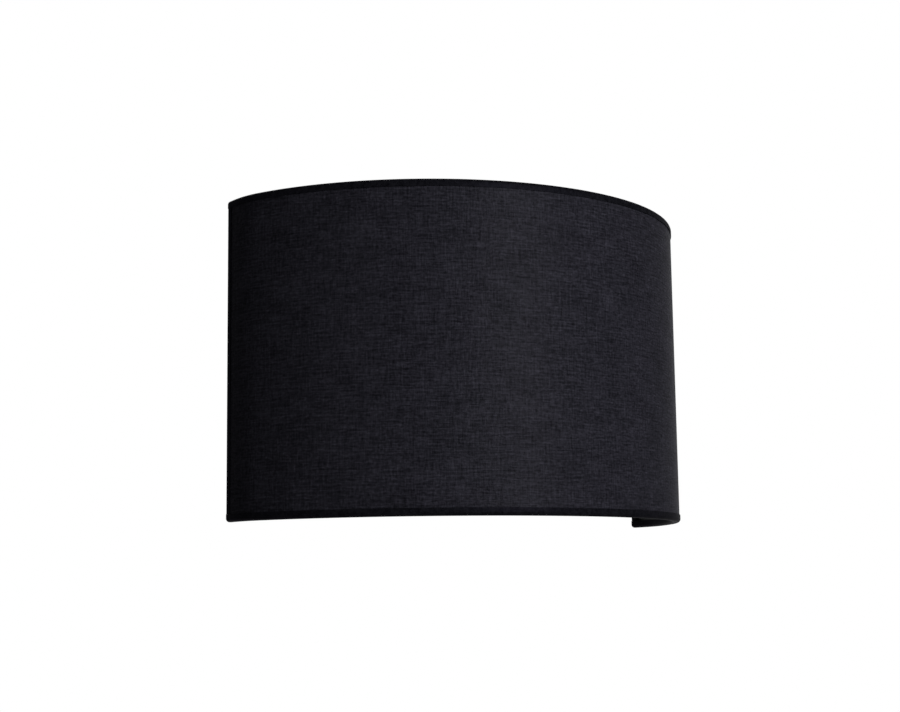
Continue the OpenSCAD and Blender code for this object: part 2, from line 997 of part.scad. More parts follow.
// Everything on the block is drawn with z as the way from the pan's inner face to the wall
module on_block() {
    translate([block_x, pan_inner_y + glue, block_z])
        rotate([-90, 0, 0])
            mirror([0, 1, 0])
                children();
}

module pole_axis(i) {
    translate([(i - 1) * pole_pitch, 0, block_base / 2])
        rotate([90, 0, 0])
            children();
}

module terminal_block() {
    base_w = block_w - 1;
    color("#ece9df")
        on_block()
            difference() {
                union() {
                    translate([-base_w / 2, -block_l / 2, 0])
                        cube([base_w, block_l, block_base]);
                    for (i = [0 : 2])
                        for (s = [-1, 1])
                            translate([(i - 1) * pole_pitch, s * pole_screw_dz, 0])
                                cylinder(r = tower_r, h = block_h);
                }
                for (i = [0 : 2]) {
                    pole_axis(i)
                        cylinder(r = tube_r + thread_play, h = block_l + 2 * over, center = true);
                    for (s = [-1, 1])
                        translate([(i - 1) * pole_pitch, s * pole_screw_dz, block_base / 2])
                            cylinder(r = pole_screw_r + nut_play, h = block_h);
                }
                for (s = [-1, 1])
                    translate([s * pole_pitch / 2, 0, -over])
                        cylinder(r = m3_d / 2 + nut_play, h = block_h);
            }
}

module terminal_tubes() {
    color("#c9a44a")
        on_block()
            for (i = [0 : 2])
                difference() {
                    pole_axis(i)
                        cylinder(r = tube_r, h = block_l - 2, center = true);
                    pole_axis(i)
                        cylinder(r = tube_bore_r, h = block_l, center = true);
                    for (s = [-1, 1])
                        translate([(i - 1) * pole_pitch, s * pole_screw_dz, block_base / 2])
                            cylinder(r = pole_screw_r + thread_play, h = block_h);
                }
}

module terminal_screws() {
    tip = block_base / 2 + tube_bore_r * 0.5;
    head = block_h - 1;
    color("#b8bbbf")
        on_block()
            for (i = [0 : 2])
                for (s = [-1, 1])
                    translate([(i - 1) * pole_pitch, s * pole_screw_dz, tip])
                        difference() {
                            cylinder(r = pole_screw_r, h = head - tip);
                            translate([-pole_screw_r - over, -0.25, head - tip - 0.8])
                                cube([2 * (pole_screw_r + over), 0.5, 2]);
                        }
}

module block_screw() {
    color("#b8bbbf")
        on_block()
            translate([-pole_pitch / 2, 0, block_base + glue])
                pan_head_screw(m3_d, 5, 2, block_base + 2 * glue + pan_t);
}

// The strap's earth screw, which clamps the ring of the earth lead's tag
module earth_screw() {
    color("#b8bbbf")
        translate([earth_x, -strap_t - earth_tag_t - 2 * glue, 0])
            rotate([90, 0, 0])
                pan_head_screw(m4_d, m4_head_d, m4_head_h, strap_t + earth_tag_t + 2 * glue - 0.2);
}

module earth_tag() {
    barrel_r = lead_r + 0.4;
    barrel_l = 6;
    barrel_z = m4_head_d / 2 + 1.2;
    color("#c9a44a")
        translate([earth_x, -strap_t - glue, 0]) {
            difference() {
                union() {
                    rotate([90, 0, 0])
                        cylinder(r = m4_head_d / 2, h = earth_tag_t);
                    translate([-1.2, -earth_tag_t, 0])
                        cube([2.4, earth_tag_t, barrel_z + 1]);
                }
                translate([0, over, 0])
                    rotate([90, 0, 0])
                        cylinder(r = m4_d / 2 + nut_play, h = 4);
            }
            difference() {
                translate([0, -barrel_r, barrel_z])
                    cylinder(r = barrel_r, h = barrel_l);
                translate([0, -barrel_r, barrel_z + 1])
                    cylinder(r = lead_r + nut_play, h = barrel_l);
            }
        }
}

// A lead's way from the arm's inner end to the core, s is its side of the bore
function in_arm(s) =
    let (bend_y = arm_bend_r - reach, x = s * lead_side)
        concat(
            [
                [x, arm_start_y - 1, arm_z],
                [x, (arm_start_y + bend_y) / 2, arm_z],
                [x, bend_y, arm_z]
            ],
            [
                for (a = [22.5 : 22.5 : 90])
                    [x, bend_y - arm_bend_r * sin(a), arm_z + arm_bend_r * (1 - cos(a))]
            ],
            [
                [x, -reach, holder_z + boss_h],
                [1.3 * x, -reach, holder_z + 2 * boss_h],
                [s * way_x, -reach, core_z],
                [s * way_x, -reach, core_z + way_h - 1]
            ]
        );

// A lead's first stretch, from inside its pole straight down out of the block
function out_of_pole(i) = [
    for (below = [-block_end_in, 0, 4, 8])
        [pole_x(i), pole_y, block_low_z - below]
];

// The live lead takes the inside of the turn into the arm and the neutral lead the outside
module live_lead() {
    points = concat(
        out_of_pole(1),
        [[pole_x(1) - 9, pole_y + 5, arm_z + 6], [12, arm_start_y + 4, arm_z], [4, arm_start_y + 3, arm_z]],
        in_arm(1)
    );
    color("#7a4a2b")
        tube_along(route(points, 3), lead_r, lead_sides);
}

module neutral_lead() {
    points = concat(
        out_of_pole(0),
        [[pole_x(0) - 10, pole_y + 7, arm_z + 10], [5, arm_start_y + 7, arm_z + 1], [0, arm_start_y + 4, arm_z]],
        in_arm(-1)
    );
    color("#2f5fa8")
        tube_along(route(points, 3), lead_r, lead_sides);
}

module earth_lead() {
    tag_y = -strap_t - glue - lead_r - 0.4;
    tag_z = m4_head_d / 2 + 2.6;
    loop = [
        [earth_x - 2, pole_y + 2, block_low_z - 9],
        [earth_x + 5, pole_y + 4, block_low_z - 4],
        [earth_x + 5, tag_y - 4, tag_z + 12],
        [earth_x + 1, tag_y, tag_z + 12],
        [earth_x, tag_y, tag_z + 7],
        [earth_x, tag_y, tag_z]
    ];
    points = concat([for (below = [-block_end_in, 0, 4]) [pole_x(2), pole_y, block_low_z - below]], loop);
    color("#6f9a3a")
        tube_along(route(points, 4), lead_r, lead_sides);
}

shade_fabric();
shade_liner();
top_hem();
bottom_hem();
left_end_hem();
right_end_hem();
top_ring_wire();
bottom_ring_wire();
left_upright_wire();
right_upright_wire();
hanger_bar();
wall_strap();
back_pan();
pan_screws();
arm_tube();
arm_nuts();
arm_collar();
holder_cap();
holder_skirt();
holder_core();
screw_shell();
spring_contact();
terminal_block();
terminal_tubes();
terminal_screws();
block_screw();
earth_screw();
earth_tag();
live_lead();
neutral_lead();
earth_lead();
bulb_foot_contact();
bulb_foot_insulator();
bulb_cap();
bulb_housing();
bulb_board();
bulb_dome();
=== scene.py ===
import json
import math
import bpy
from mathutils import Matrix, Vector


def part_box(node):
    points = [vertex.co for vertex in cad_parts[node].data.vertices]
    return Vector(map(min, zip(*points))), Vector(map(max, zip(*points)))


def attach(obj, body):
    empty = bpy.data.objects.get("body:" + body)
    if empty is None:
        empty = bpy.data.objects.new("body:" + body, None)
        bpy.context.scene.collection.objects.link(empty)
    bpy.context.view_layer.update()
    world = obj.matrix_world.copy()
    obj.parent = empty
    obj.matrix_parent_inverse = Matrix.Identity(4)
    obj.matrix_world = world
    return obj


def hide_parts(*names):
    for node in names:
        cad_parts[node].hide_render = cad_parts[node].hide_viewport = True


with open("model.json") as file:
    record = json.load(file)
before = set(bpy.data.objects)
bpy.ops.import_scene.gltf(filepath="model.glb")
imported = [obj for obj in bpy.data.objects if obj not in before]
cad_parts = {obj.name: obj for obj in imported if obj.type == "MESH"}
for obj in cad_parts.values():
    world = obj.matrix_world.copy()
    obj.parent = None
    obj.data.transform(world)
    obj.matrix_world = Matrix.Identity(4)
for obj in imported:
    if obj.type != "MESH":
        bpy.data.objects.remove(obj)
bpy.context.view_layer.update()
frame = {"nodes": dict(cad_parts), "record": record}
nodes = frame["nodes"]

MM = 0.001

# Driving sizes of the shade and of the bulb's screw thread, in metres, the same as in the part
side_r = 60 * MM
return_l = 7.5 * MM
hem_t = 0.45 * MM
glue = 0.05 * MM
fabric_t = 0.5 * MM
wire_r = 1.5 * MM
liner_t = 0.5 * MM
inch = 25.4 * MM
thread_pitch = inch / 7
thread_depth = 0.85 * MM

# What follows from them and from the frame
hem_low, hem_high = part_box("bottom_hem")
top_low, top_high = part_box("top_hem")
cloth_low, cloth_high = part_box("shade_fabric")
half_w = hem_high.x
wall_gap = -hem_high.y
shade_d = -hem_low.y
hem_h = hem_high.z - hem_low.z
cloth_h = cloth_high.z - cloth_low.z
nose_r = wire_r + glue + hem_t
fabric_u = hem_t + glue
wire_u = fabric_u + fabric_t + liner_t + 2 * glue + wire_r
rim_t = wire_u + nose_r
side_x = half_w - side_r
side_y = -return_l
arch_d = shade_d - return_l
front_c = (side_x ** 2 - (arch_d - side_r) ** 2) / (2 * (arch_d - side_r))
front_r = arch_d + front_c
front_y = front_c - return_l
side_turn = math.atan2(front_c, side_x)
front_turn = math.pi - 2 * side_turn

# How finely the plan's straight stretches and arcs are cut, and how near counts as the same place
return_cuts = 3
side_cuts = 10
front_cuts = 150
near = 0.01 * MM

# A Mix node has several sockets of one name, so its two colours and their mixture go by number
MIX_A, MIX_B, MIXTURE = 6, 7, 2


def linear(hex_colour):
    """An sRGB hex colour as the linear colour that a socket takes."""
    channels = [int(hex_colour[i:i + 2], 16) / 255 for i in (1, 3, 5)]
    return [*(c / 12.92 if c <= 0.04045 else ((c + 0.055) / 1.055) ** 2.4 for c in channels), 1]


def add(tree, kind, settings=None, links=None):
    """Adds a node. A setting is a property or a socket, and a link feeds a socket from a node's output."""
    made = tree.nodes.new("ShaderNode" + kind)
    for key, value in (settings or {}).items():
        if isinstance(key, str) and key in made.bl_rna.properties:
            setattr(made, key, value)
        else:
            made.inputs[key].default_value = value
    for key, source in (links or {}).items():
        output = source if isinstance(source, bpy.types.NodeSocket) else source.outputs[0]
        tree.links.new(output, made.inputs[key])
    return made


def start_material(name):
    material = bpy.data.materials.new(name)
    material.use_nodes = True
    material.node_tree.nodes.clear()
    return material, material.node_tree


def end_material(tree, shader):
    add(tree, "OutputMaterial", links={"Surface": shader})


# Slub cotton, plain woven in black: short crossing threads, long level slubs where the yarn is thick, and
# soft cloudy patches, so that the black breaks up into greys. The sizes are in mm along the plan and up. The
# real threads are about 0.3 mm apart, and are drawn about three times as coarse so that they show. The yarn
# has a weak even lustre, which a low specular level under a strong tint gives without a haze at the edges.
def woven_cotton(name, dark, light):
    material, tree = start_material(name)
    coords = add(tree, "UVMap", {"uv_map": "unrolled"})
    total = None
    for across_mm, up_mm, gain in (
        (14, 1.1, 0.8),
        (4, 1.0, 0.7),
        (0.9, 4, 0.6),
        (1.2, 16, 0.5),
        (1.8, 1.2, 0.7),
        (30, 12, 0.35),
    ):
        per_metre = (1 / (across_mm * MM), 1 / (up_mm * MM), 1)
        stretched = add(tree, "VectorMath", {"operation": "MULTIPLY", 1: per_metre}, {0: coords})
        settings = {"Scale": 1.0, "Detail": 1.0, "Roughness": 0.6}
        threads = add(tree, "TexNoise", settings, {"Vector": stretched})
        centred = add(tree, "Math", {"operation": "MULTIPLY_ADD", 1: gain, 2: -gain / 2}, {0: threads})
        total = centred if total is None else add(tree, "Math", {"operation": "ADD"}, {0: total, 1: centred})
    level = add(tree, "MapRange", {"From Min": -0.5, "From Max": 0.5}, {"Value": total})
    share = add(tree, "Math", {"operation": "POWER", 1: 1.5}, {0: level})
    tones = add(tree, "Mix", {"data_type": "RGBA", MIX_A: linear(dark), MIX_B: linear(light)}, {0: share})
    relief = add(tree, "Bump", {"Strength": 1.0, "Distance": 0.22 * MM}, {"Height": total})
    cloth_shader = add(
        tree,
        "BsdfPrincipled",
        {"Roughness": 0.37, "Specular IOR Level": 0.0013, "Specular Tint": (9, 9, 9.6, 1)},
        {"Base Color": tones.outputs[MIXTURE], "Normal": relief},
    )
    end_material(tree, cloth_shader)
    return material


# The same cotton rolled round the wires: pulled tight, so smoother, with a bluish lustre. Its tones are
# darker than the cloth's: partly the tight roll's own darker look, and partly painted shade for the dark
# that the rolled edge takes where the light falls off it. Its threads and folds are sizes in mm, and the
# threads are drawn as coarse as the cloth's.
def rolled_cotton(name, dark, light):
    material, tree = start_material(name)
    coords = add(tree, "TexCoord").outputs["Object"]
    threads = add(tree, "TexNoise", {"Scale": 1 / (0.7 * MM), "Detail": 2.0}, {"Vector": coords})
    folds = add(tree, "TexNoise", {"Scale": 1 / (2.5 * MM), "Detail": 2.0}, {"Vector": coords})
    total = add(tree, "Math", {"operation": "ADD"}, {0: threads, 1: folds})
    share = add(tree, "MapRange", {"From Min": 0.75, "From Max": 1.25}, {"Value": total})
    tones = add(tree, "Mix", {"data_type": "RGBA", MIX_A: linear(dark), MIX_B: linear(light)}, {0: share})
    relief = add(tree, "Bump", {"Strength": 0.8, "Distance": 0.05 * MM}, {"Height": total})
    hem_shader = add(
        tree,
        "BsdfPrincipled",
        {"Roughness": 0.42, "Specular IOR Level": 0.0013, "Specular Tint": (9, 8.4, 13, 1)},
        {"Base Color": tones.outputs[MIXTURE], "Normal": relief},
    )
    end_material(tree, hem_shader)
    return material


# A hard finish: two close tones in soft blotches, a grain in its relief and a roughness that follows the
# blotches. The grain's size is in mm along x, y and z, so that drawn and rolled metal has its lines.
def hard_finish(
    name, tones, roughness, metallic=0.0, grain_mm=(1, 1, 1), relief_mm=0.02, blotch_mm=12, **sockets
):
    material, tree = start_material(name)
    coords = add(tree, "TexCoord").outputs["Object"]
    blotches = add(tree, "TexNoise", {"Scale": 1 / (blotch_mm * MM), "Detail": 3.0}, {"Vector": coords})
    share = add(tree, "MapRange", {"From Min": 0.3, "From Max": 0.7}, {"Value": blotches})
    settings = {"data_type": "RGBA", MIX_A: linear(tones[0]), MIX_B: linear(tones[1])}
    colour = add(tree, "Mix", settings, {0: share})
    per_metre = [1 / (size * MM) for size in grain_mm]
    stretched = add(tree, "VectorMath", {"operation": "MULTIPLY", 1: per_metre}, {0: coords})
    grain = add(tree, "TexNoise", {"Scale": 1.0, "Detail": 2.0}, {"Vector": stretched})
    rough = add(tree, "MapRange", {"To Min": roughness[0], "To Max": roughness[1]}, {"Value": share})
    relief = add(tree, "Bump", {"Strength": 0.5, "Distance": relief_mm * MM}, {"Height": grain})
    shader = add(
        tree,
        "BsdfPrincipled",
        {"Metallic": metallic, **sockets},
        {"Base Color": colour.outputs[MIXTURE], "Roughness": rough, "Normal": relief},
    )
    end_material(tree, shader)
    return material


# Extruded silicone of an earth lead: yellow with a green stripe down each side, satin with a fine drag
def striped_insulation(name, yellow, green):
    material, tree = start_material(name)
    coords = add(tree, "TexCoord")
    facing = add(tree, "SeparateXYZ", links={0: coords.outputs["Normal"]})
    sideways = add(tree, "Math", {"operation": "ABSOLUTE"}, {0: facing.outputs["X"]})
    side = add(tree, "MapRange", {"From Min": 0.45, "From Max": 0.55}, {"Value": sideways})
    settings = {"data_type": "RGBA", MIX_A: linear(green), MIX_B: linear(yellow)}
    stripes = add(tree, "Mix", settings, {0: side})
    settings = {"Scale": 1 / (0.6 * MM), "Detail": 2.0}
    skin = add(tree, "TexNoise", settings, {"Vector": coords.outputs["Object"]})
    rough = add(tree, "MapRange", {"To Min": 0.4, "To Max": 0.6}, {"Value": skin})
    relief = add(tree, "Bump", {"Strength": 0.5, "Distance": 0.02 * MM}, {"Height": skin})
    links = {"Base Color": stripes.outputs[MIXTURE], "Roughness": rough, "Normal": relief}
    end_material(tree, add(tree, "BsdfPrincipled", links=links))
    return material


FINISHES = {
    "black_fabric": woven_cotton("woven black slub cotton", "#0f0f13", "#323139"),
    # The hem's darker tones are partly painted shade of the rolled edge
    "hem_fabric": rolled_cotton("rolled black slub cotton", "#060608", "#141418"),
    # Calendered styrene sheet: a flat dull black with a faint pebble
    "black_liner": hard_finish(
        "calendered black styrene",
        ("#09090b", "#0e0e11"),
        (0.55, 0.7),
        grain_mm=(0.6, 0.6, 0.6),
        relief_mm=0.01,
        **{"Specular IOR Level": 0.2},
    ),
    # Epoxy powder baked on the wire: a soft black gloss, slightly pebbled
    "coated_wire": hard_finish(
        "black powder coat", ("#131315", "#1b1b1e"), (0.35, 0.5), grain_mm=(0.5, 0.5, 0.5)
    ),
    # Zinc plated on rolled strip: a satin bluish grey, with the mill's lines along the strip
    "zinc_steel": hard_finish(
        "rolled zinc plated steel",
        ("#9ea4aa", "#aeb2b6"),
        (0.42, 0.56),
        1.0,
        grain_mm=(14, 0.5, 0.35),
        relief_mm=0.015,
        blotch_mm=6,
    ),
    # Epoxy powder baked on sheet: white with an orange peel, a little duller in patches
    "painted_steel": hard_finish(
        "white powder coat",
        ("#e2e2de", "#eaeae8"),
        (0.35, 0.48),
        grain_mm=(0.8, 0.8, 0.8),
        relief_mm=0.03,
    ),
    # Zinc plated on turned screws: bright, scuffed by the screwdriver
    "screw_steel": hard_finish(
        "zinc plated screw steel",
        ("#9ca1a6", "#b2b5b8"),
        (0.34, 0.46),
        1.0,
        grain_mm=(0.3, 0.3, 0.3),
        blotch_mm=2,
    ),
    # Brass, drawn and turned: warm yellow with a slightly browner tarnish
    "brass": hard_finish(
        "turned brass",
        ("#bf9140", "#d8b45e"),
        (0.22, 0.36),
        1.0,
        grain_mm=(0.5, 0.5, 0.5),
        relief_mm=0.003,
        blotch_mm=9,
    ),
    # Phenolic resin, compression moulded: black with a polished skin and slight flow marks
    "black_phenolic": hard_finish(
        "moulded black phenolic",
        ("#0f0f10", "#161618"),
        (0.2, 0.32),
        grain_mm=(2.5, 2.5, 6),
        relief_mm=0.012,
    ),
    # Steatite, pressed and fired: cream, dry and finely grained
    "ceramic_core": hard_finish(
        "fired steatite", ("#e0dbcd", "#efeade"), (0.6, 0.75), grain_mm=(0.4, 0.4, 0.4)
    ),
    # Polyamide, injection moulded: natural off-white, satin
    "block_plastic": hard_finish(
        "moulded polyamide", ("#e2decf", "#ebe7da"), (0.4, 0.52), grain_mm=(0.8, 0.8, 0.8)
    ),
    # Brass sheet, hot tinned: pale warm grey with soft runs
    "tinned_tag": hard_finish(
        "tinned brass sheet", ("#b4b1a2", "#cfccc0"), (0.28, 0.44), 1.0, blotch_mm=2
    ),
    # Silicone, extruded: satin colour with a fine drag along it
    "brown_insulation": hard_finish(
        "brown silicone insulation", ("#5f341c", "#754528"), (0.45, 0.6), blotch_mm=4
    ),
    "blue_insulation": hard_finish(
        "blue silicone insulation", ("#214d88", "#2d62a8"), (0.45, 0.6), blotch_mm=4
    ),
    "green_yellow_insulation": striped_insulation("striped silicone insulation", "#d6c62c", "#3f7a2e"),
    # Tin solder, set from the melt: bright grey in soft lumps
    "solder": hard_finish(
        "tin solder", ("#a6a9ab", "#babdbe"), (0.22, 0.4), 1.0, relief_mm=0.06, blotch_mm=1.5
    ),
    # Black glass, poured into the cap: deep and glossy
    "cap_glass": hard_finish("poured black glass", ("#0c0c0e", "#131316"), (0.08, 0.14), grain_mm=(3, 3, 3)),
    # Nickel plated on rolled brass: cool bright grey, lightly brushed round the cap
    "cap_nickel": hard_finish(
        "nickel plated rolled brass",
        ("#b2b4b6", "#c6c7c8"),
        (0.16, 0.28),
        1.0,
        grain_mm=(3, 3, 0.25),
        relief_mm=0.008,
        blotch_mm=4,
    ),
    # Polycarbonate, injection moulded: white, between satin and gloss
    "bulb_plastic": hard_finish("moulded white polycarbonate", ("#ebebe7", "#f2f2ee"), (0.28, 0.38)),
    # Aluminium, rolled and stamped: dull silver with rolling lines
    "board_aluminium": hard_finish(
        "stamped aluminium", ("#cfd1d3", "#dcdddf"), (0.3, 0.4), 1.0, grain_mm=(9, 0.4, 0.4)
    ),
    # Opal polycarbonate, blow moulded: milky white, even and slightly soft in its gloss
    "opal_dome": hard_finish(
        "opal polycarbonate",
        ("#f1f0eb", "#f7f6f2"),
        (0.22, 0.3),
        grain_mm=(3, 3, 3),
        relief_mm=0.005,
    ),
}


def leave_edit_mode():
    if bpy.context.object and bpy.context.object.mode != "OBJECT":
        bpy.ops.object.mode_set(mode="OBJECT")
    bpy.ops.object.select_all(action="DESELECT")


def edit_select(piece, kind, chosen):
    """Selects, in edit mode, the vertices, edges or faces for which chosen is true."""
    bpy.ops.object.mode_set(mode="OBJECT")
    mesh = piece.data
    for group in (mesh.vertices, mesh.edges, mesh.polygons):
        group.foreach_set("select", [False] * len(group))
    bpy.context.tool_settings.mesh_select_mode = [kind == k for k in ("VERT", "EDGE", "FACE")]
    items = {"VERT": mesh.vertices, "EDGE": mesh.edges, "FACE": mesh.polygons}[kind]
    for item in items:
        item.select = chosen(item)
    bpy.ops.object.mode_set(mode="EDIT")


def edge_ends(piece, edge):
    return [piece.data.vertices[i].co for i in edge.vertices]


def apply_modifier(piece, kind, **settings):
    leave_edit_mode()
    bpy.context.view_layer.objects.active = piece
    piece.select_set(True)
    modifier = piece.modifiers.new(kind.lower(), kind)
    for key, value in settings.items():
        setattr(modifier, key, value)
    bpy.ops.object.modifier_apply(modifier=modifier.name)


def carry_round_plan(start_y):
    """Takes what is selected at the left end round the shade's plan, by straight stretches and arcs."""
    step = (side_y - start_y) / return_cuts
    for _ in range(return_cuts):
        bpy.ops.mesh.extrude_region_move(TRANSFORM_OT_translate={"value": (0, step, 0)})
    arcs = [
        ((-side_x, side_y, 0), side_turn, side_cuts),
        ((0, front_y, 0), front_turn, front_cuts),
        ((side_x, side_y, 0), side_turn, side_cuts),
    ]
    for centre, turn, cuts in arcs:
        bpy.ops.mesh.spin(steps=cuts, angle=-turn, center=centre, axis=(0, 0, 1), use_auto_merge=False)
    for _ in range(return_cuts):
        bpy.ops.mesh.extrude_region_move(TRANSFORM_OT_translate={"value": (0, -step, 0)})


def along_plan(x, y):
    """Distance along the outline, from the middle of the front to the place beside a point."""
    side = -1 if x < 0 else 1
    angle = math.atan2(abs(x), front_y - y)
    if angle <= front_turn / 2:
        return side * front_r * angle
    front_half = front_r * front_turn / 2
    if y <= side_y:
        angle = math.atan2(side_y - y, abs(x) - side_x)
        return side * (front_half + side_r * (side_turn - angle))
    return side * (front_half + side_r * side_turn + y - side_y)


def unroll(piece):
    """Lays the piece's UV map out flat in metres: along the plan, and up."""
    layer = piece.data.uv_layers.new(name="unrolled")
    places = [(along_plan(v.co.x, v.co.y), v.co.z) for v in piece.data.vertices]
    for loop, uv in zip(piece.data.loops, layer.data):
        uv.uv = places[loop.vertex_index]


def shade_smooth(piece, degrees=40):
    leave_edit_mode()
    bpy.context.view_layer.objects.active = piece
    piece.select_set(True)
    bpy.ops.object.shade_smooth_by_angle(angle=math.radians(degrees))


def dress(piece, slot, body, *replaced):
    piece.data.materials.clear()
    piece.data.materials.append(FINISHES[slot])
    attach(piece, body)
    if replaced:
        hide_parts(*replaced)


# The cloth: a plane as the left return, cut into rows, carried round the plan and given its thickness
def shade_cloth():
    leave_edit_mode()
    rows = 48
    first = 1.2 * MM
    start_y = cloth_high.y
    edge_y = start_y - first
    middle = (-half_w + fabric_u, (start_y + edge_y) / 2, (cloth_low.z + cloth_high.z) / 2)
    bpy.ops.mesh.primitive_plane_add(size=1, location=middle, rotation=(0, math.pi / 2, 0))
    cloth = bpy.context.object
    cloth.name = "shade_cloth"
    cloth.scale = (cloth_h, first, 1)
    bpy.ops.object.transform_apply(location=True, rotation=True, scale=True)
    bpy.ops.object.mode_set(mode="EDIT")

    def upright(edge):
        a, b = edge_ends(cloth, edge)
        return abs(a.z - b.z) > cloth_h / 2

    edit_select(cloth, "EDGE", upright)
    bpy.ops.mesh.subdivide(number_cuts=rows - 1)
    edit_select(cloth, "EDGE", lambda e: all(abs(v.y - edge_y) < near for v in edge_ends(cloth, e)))
    carry_round_plan(edge_y)
    bpy.ops.mesh.select_all(action="SELECT")
    bpy.ops.mesh.normals_make_consistent(inside=False)
    leave_edit_mode()
    return cloth


cloth = shade_cloth()
apply_modifier(cloth, "SOLIDIFY", thickness=fabric_t, offset=-1, use_even_offset=True)
shade_smooth(cloth)
unroll(cloth)
dress(cloth, "black_fabric", "shade", "shade_fabric")


def face_outwards(piece, place, outward):
    """Turns the faces over if the face nearest to place doesn't look outward."""
    nearest = min(piece.data.polygons, key=lambda f: (f.center - Vector(place)).length)
    if nearest.normal.dot(Vector(outward)) < 0:
        edit_select(piece, "FACE", lambda f: True)
        bpy.ops.mesh.flip_normals()
        leave_edit_mode()


# A hem: a plane as the section of the roll, rounded at its nose, opened on its other side, carried round the
# plan, closed and rounded at both ends and given the cloth's thickness
def rolled_hem(name, node, nose_z, free_z):
    leave_edit_mode()
    start_y = -wall_gap
    end_round = 0.7 * nose_r
    middle = (-half_w + rim_t / 2, start_y, (nose_z + free_z) / 2)
    bpy.ops.mesh.primitive_plane_add(size=1, location=middle, rotation=(math.pi / 2, 0, 0))
    hem = bpy.context.object
    hem.name = name
    hem.scale = (rim_t, hem_h, 1)
    bpy.ops.object.transform_apply(location=True, rotation=True, scale=True)
    edit_select(hem, "VERT", lambda v: abs(v.co.z - nose_z) < near)
    bpy.ops.mesh.bevel(offset=nose_r, offset_type="OFFSET", segments=6, affect="VERTICES")
    edit_select(hem, "FACE", lambda f: True)
    bpy.ops.mesh.delete(type="ONLY_FACE")
    edit_select(hem, "EDGE", lambda e: all(abs(v.z - free_z) < near for v in edge_ends(hem, e)))
    bpy.ops.mesh.delete(type="EDGE")
    edit_select(hem, "EDGE", lambda e: True)
    carry_round_plan(start_y)

    def at_end(edge, side):
        return all(abs(v.y - start_y) < near and v.x * side > 0 for v in edge_ends(hem, edge))

    for side in (-1, 1):
        edit_select(hem, "EDGE", lambda e: at_end(e, side))
        bpy.ops.mesh.edge_face_add()
    bpy.ops.mesh.select_all(action="SELECT")
    bpy.ops.mesh.remove_doubles(threshold=near / 10)
    bpy.ops.mesh.normals_make_consistent(inside=False)
    leave_edit_mode()
    face_outwards(hem, (0, -shade_d, free_z), (0, -1, 0))

    def on_end_rim(edge):
        ends = edge_ends(hem, edge)
        on_free_edge = all(abs(v.z - free_z) < near for v in ends)
        return all(abs(v.y - start_y) < near for v in ends) and not on_free_edge

    edit_select(hem, "EDGE", on_end_rim)
    bpy.ops.mesh.bevel(offset=end_round, offset_type="OFFSET", segments=4, clamp_overlap=False)
    leave_edit_mode()
    apply_modifier(hem, "SOLIDIFY", thickness=hem_t, offset=-1, use_even_offset=True)
    shade_smooth(hem)
    dress(hem, "hem_fabric", "shade", node)
    return hem


bottom_roll = rolled_hem("bottom_roll", "bottom_hem", hem_low.z, hem_high.z)
top_roll = rolled_hem("top_roll", "top_hem", top_high.z, top_low.z)


def roll_thread(piece, axis_y, low_z, high_z, depth):
    """Draws the piece's points in towards its upright axis, along a helical groove with faded ends."""
    fade = 1.6 * MM
    for vertex in piece.data.vertices:
        x, y, z = vertex.co.x, vertex.co.y - axis_y, vertex.co.z
        share = max(0, min(1, min(z - low_z, high_z - z) / fade))
        turn = z / thread_pitch - math.atan2(y, x) / (2 * math.pi)
        groove = depth * share * share * (3 - 2 * share) * (0.5 - 0.5 * math.cos(2 * math.pi * turn))
        left = 1 - groove / math.hypot(x, y)
        vertex.co.x = x * left
        vertex.co.y = axis_y + y * left


# A sheet metal tube with a rolled thread: a cylinder cut into rows, its foot drawn in step by step, the
# thread rolled and the metal given its thickness. foot_steps are (way down, radius) pairs.
def threaded_tube(name, node, slot, body, start_z, foot_steps, wall, thread_z):
    leave_edit_mode()
    row_h = 0.3 * MM
    low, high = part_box(node)
    radius = (high.x - low.x) / 2
    axis_y = (high.y + low.y) / 2
    height = high.z - start_z
    middle = (0, axis_y, start_z + height / 2)
    bpy.ops.mesh.primitive_cylinder_add(
        vertices=96, radius=radius, depth=height, end_fill_type="NOTHING", location=middle
    )
    tube = bpy.context.object
    tube.name = name
    bpy.ops.object.transform_apply(location=True, rotation=True, scale=True)
    edit_select(tube, "EDGE", lambda e: abs(edge_ends(tube, e)[0].z - edge_ends(tube, e)[1].z) > height / 2)
    bpy.ops.mesh.subdivide(number_cuts=round(height / row_h))
    edit_select(tube, "EDGE", lambda e: all(abs(v.z - start_z) < near for v in edge_ends(tube, e)))
    now_r = radius
    for down, next_r in foot_steps:
        bpy.ops.mesh.extrude_region_move(TRANSFORM_OT_translate={"value": (0, 0, -down)})
        share = next_r / now_r
        bpy.ops.transform.resize(value=(share, share, 1), center_override=(0, axis_y, start_z))
        now_r = next_r
    bpy.ops.mesh.select_all(action="SELECT")
    bpy.ops.mesh.normals_make_consistent(inside=False)
    leave_edit_mode()
    face_outwards(tube, (radius, axis_y, high.z), (1, 0, 0))
    roll_thread(tube, axis_y, *thread_z, thread_depth)
    apply_modifier(tube, "SOLIDIFY", thickness=wall, offset=-1, use_even_offset=True)
    shade_smooth(tube)
    dress(tube, slot, body, node)


